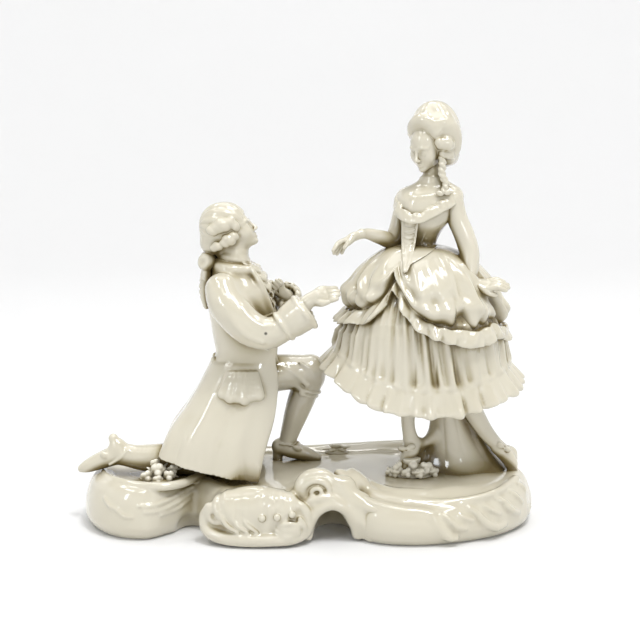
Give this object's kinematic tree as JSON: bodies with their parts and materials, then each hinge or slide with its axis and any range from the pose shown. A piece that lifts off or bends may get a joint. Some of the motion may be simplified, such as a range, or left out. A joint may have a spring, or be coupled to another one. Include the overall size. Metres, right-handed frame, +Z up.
{
  "type": "porcelain couple figurine",
  "caption": "Glazed porcelain group: a kneeling gentleman reaches up to a standing lady in a pleated crinoline, on a scrolled rocaille base.",
  "frame": {"origin": "centre of the outline of the whole group, on the surface that the base stands on", "axes": "+Z up, +X along the base from the kneeling gentleman to the lady, +Y towards the back"},
  "size_m": [0.2277, 0.1003, 0.2098],
  "materials": {
    "glazed_porcelain": "glossy warm ivory glaze"
  },
  "bodies": {
    "root": {"porcelain_couple": "glazed_porcelain"}
  },
  "joints": []
}
